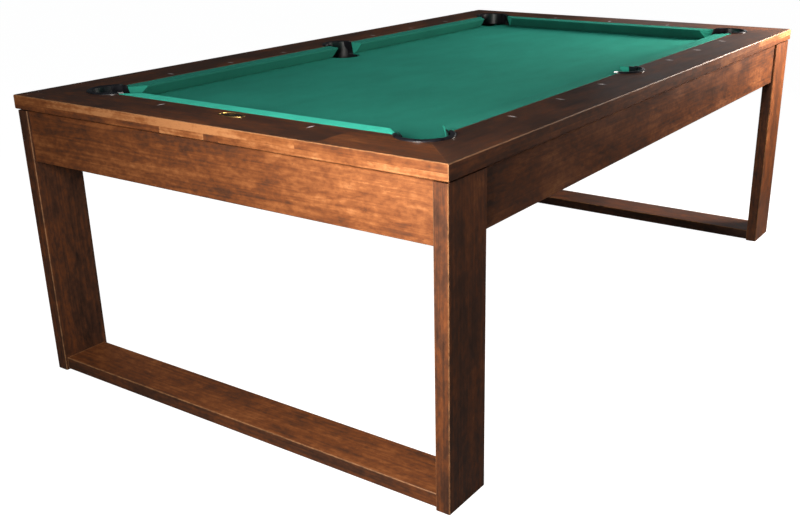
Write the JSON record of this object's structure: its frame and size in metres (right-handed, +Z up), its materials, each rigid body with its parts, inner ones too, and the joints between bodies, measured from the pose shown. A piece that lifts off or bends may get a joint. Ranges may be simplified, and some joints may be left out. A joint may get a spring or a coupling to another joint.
{
  "type": "pool table",
  "caption": "Slim pool table with mitred wooden rails, cloth-covered slate bed, black drop pockets and two sled-shaped plank frames with screw levellers.",
  "frame": {"origin": "on the floor, at the middle of the table", "axes": "+X along the table from the head end, with the nameplate, to the foot end; +Y across it to the left side, seen from the head; +Z up"},
  "size_m": [2.3852, 1.3946, 0.817],
  "materials": {
    "rail_wood": "stained and satin lacquered, worn along the edges",
    "cabinet_wood": "stained and satin lacquered",
    "leg_wood": "stained and satin lacquered",
    "dowel_wood": "bare",
    "frame_plywood": "bare",
    "feather_strip": "stained",
    "cushion_rubber": "matte",
    "pocket_facing": "matte",
    "cushion_cloth": "worsted wool, napless",
    "bed_cloth": "worsted wool, napless",
    "slate": "honed",
    "pocket_rim": "glossy black",
    "pocket_bucket": "leather grain",
    "sight_inlay": "pearl",
    "nameplate": "brushed and lacquered",
    "insert_brass": "turned",
    "steel_fasteners": "zinc plated",
    "leveller_pad": "matte",
    "leveller_screw": "zinc plated"
  },
  "bodies": {
    "table": {"rail_head": "rail_wood", "rail_foot": "rail_wood", "rail_left": "rail_wood", "rail_right": "rail_wood", "cushion_head": "cushion_rubber", "cushion_foot": "cushion_rubber", "cushion_left_head": "cushion_rubber", "cushion_left_foot": "cushion_rubber", "cushion_right_head": "cushion_rubber", "cushion_right_foot": "cushion_rubber", "cushion_cloths": "cushion_cloth", "pocket_facings": "pocket_facing", "feather_strips": "feather_strip", "rail_sights": "sight_inlay", "nameplate": "nameplate", "bed_cloth": "bed_cloth", "slate_head": "slate", "slate_centre": "slate", "slate_foot": "slate", "slate_ledgers": "frame_plywood", "pocket_collar_head_left": "pocket_rim", "pocket_collar_head_right": "pocket_rim", "pocket_collar_side_left": "pocket_rim", "pocket_collar_side_right": "pocket_rim", "pocket_collar_foot_left": "pocket_rim", "pocket_collar_foot_right": "pocket_rim", "pocket_bucket_head_left": "pocket_bucket", "pocket_bucket_head_right": "pocket_bucket", "pocket_bucket_side_left": "pocket_bucket", "pocket_bucket_side_right": "pocket_bucket", "pocket_bucket_foot_left": "pocket_bucket", "pocket_bucket_foot_right": "pocket_bucket", "pocket_rivets": "steel_fasteners", "frame_sides": "frame_plywood", "frame_ends": "frame_plywood", "cross_beams": "frame_plywood", "apron_head": "cabinet_wood", "apron_foot": "cabinet_wood", "apron_left": "cabinet_wood", "apron_right": "cabinet_wood", "leg_head_left": "leg_wood", "leg_head_right": "leg_wood", "leg_foot_left": "leg_wood", "leg_foot_right": "leg_wood", "plank_head": "leg_wood", "plank_foot": "leg_wood", "plank_dowels": "dowel_wood", "leg_bolts": "steel_fasteners", "rail_bolts": "steel_fasteners", "threaded_inserts": "insert_brass", "apron_spacers": "frame_plywood", "wood_screws": "steel_fasteners"},
    "pad_head_left": {"leveller_pad_head_left": "leveller_pad"},
    "screw_head_left": {"leveller_stem_head_left": "leveller_screw"},
    "pad_head_right": {"leveller_pad_head_right": "leveller_pad"},
    "screw_head_right": {"leveller_stem_head_right": "leveller_screw"},
    "pad_foot_left": {"leveller_pad_foot_left": "leveller_pad"},
    "screw_foot_left": {"leveller_stem_foot_left": "leveller_screw"},
    "pad_foot_right": {"leveller_pad_foot_right": "leveller_pad"},
    "screw_foot_right": {"leveller_stem_foot_right": "leveller_screw"}
  },
  "joints": [
    {"name": "lift_head_left", "type": "slide", "parent": "table", "child": "pad_head_left", "axis": [0, 0, -1], "range_m": [0, 0.018]},
    {"name": "turn_head_left", "type": "hinge", "parent": "pad_head_left", "child": "screw_head_left", "pos_m": [-1.1136, 0.6743, 0], "axis": [0, 0, -1], "range_deg": [0, 4320]},
    {"name": "lift_head_right", "type": "slide", "parent": "table", "child": "pad_head_right", "axis": [0, 0, -1], "range_m": [0, 0.018]},
    {"name": "turn_head_right", "type": "hinge", "parent": "pad_head_right", "child": "screw_head_right", "pos_m": [-1.1136, -0.6743, 0], "axis": [0, 0, -1], "range_deg": [0, 4320]},
    {"name": "lift_foot_left", "type": "slide", "parent": "table", "child": "pad_foot_left", "axis": [0, 0, -1], "range_m": [0, 0.018]},
    {"name": "turn_foot_left", "type": "hinge", "parent": "pad_foot_left", "child": "screw_foot_left", "pos_m": [1.1136, 0.6743, 0], "axis": [0, 0, -1], "range_deg": [0, 4320]},
    {"name": "lift_foot_right", "type": "slide", "parent": "table", "child": "pad_foot_right", "axis": [0, 0, -1], "range_m": [0, 0.018]},
    {"name": "turn_foot_right", "type": "hinge", "parent": "pad_foot_right", "child": "screw_foot_right", "pos_m": [1.1136, -0.6743, 0], "axis": [0, 0, -1], "range_deg": [0, 4320]}
  ],
  "couplings": [
    {"joint": "turn_head_left", "follows": "lift_head_left", "rad_per_m": 4188.8},
    {"joint": "turn_head_right", "follows": "lift_head_right", "rad_per_m": 4188.8},
    {"joint": "turn_foot_left", "follows": "lift_foot_left", "rad_per_m": 4188.8},
    {"joint": "turn_foot_right", "follows": "lift_foot_right", "rad_per_m": 4188.8}
  ]
}
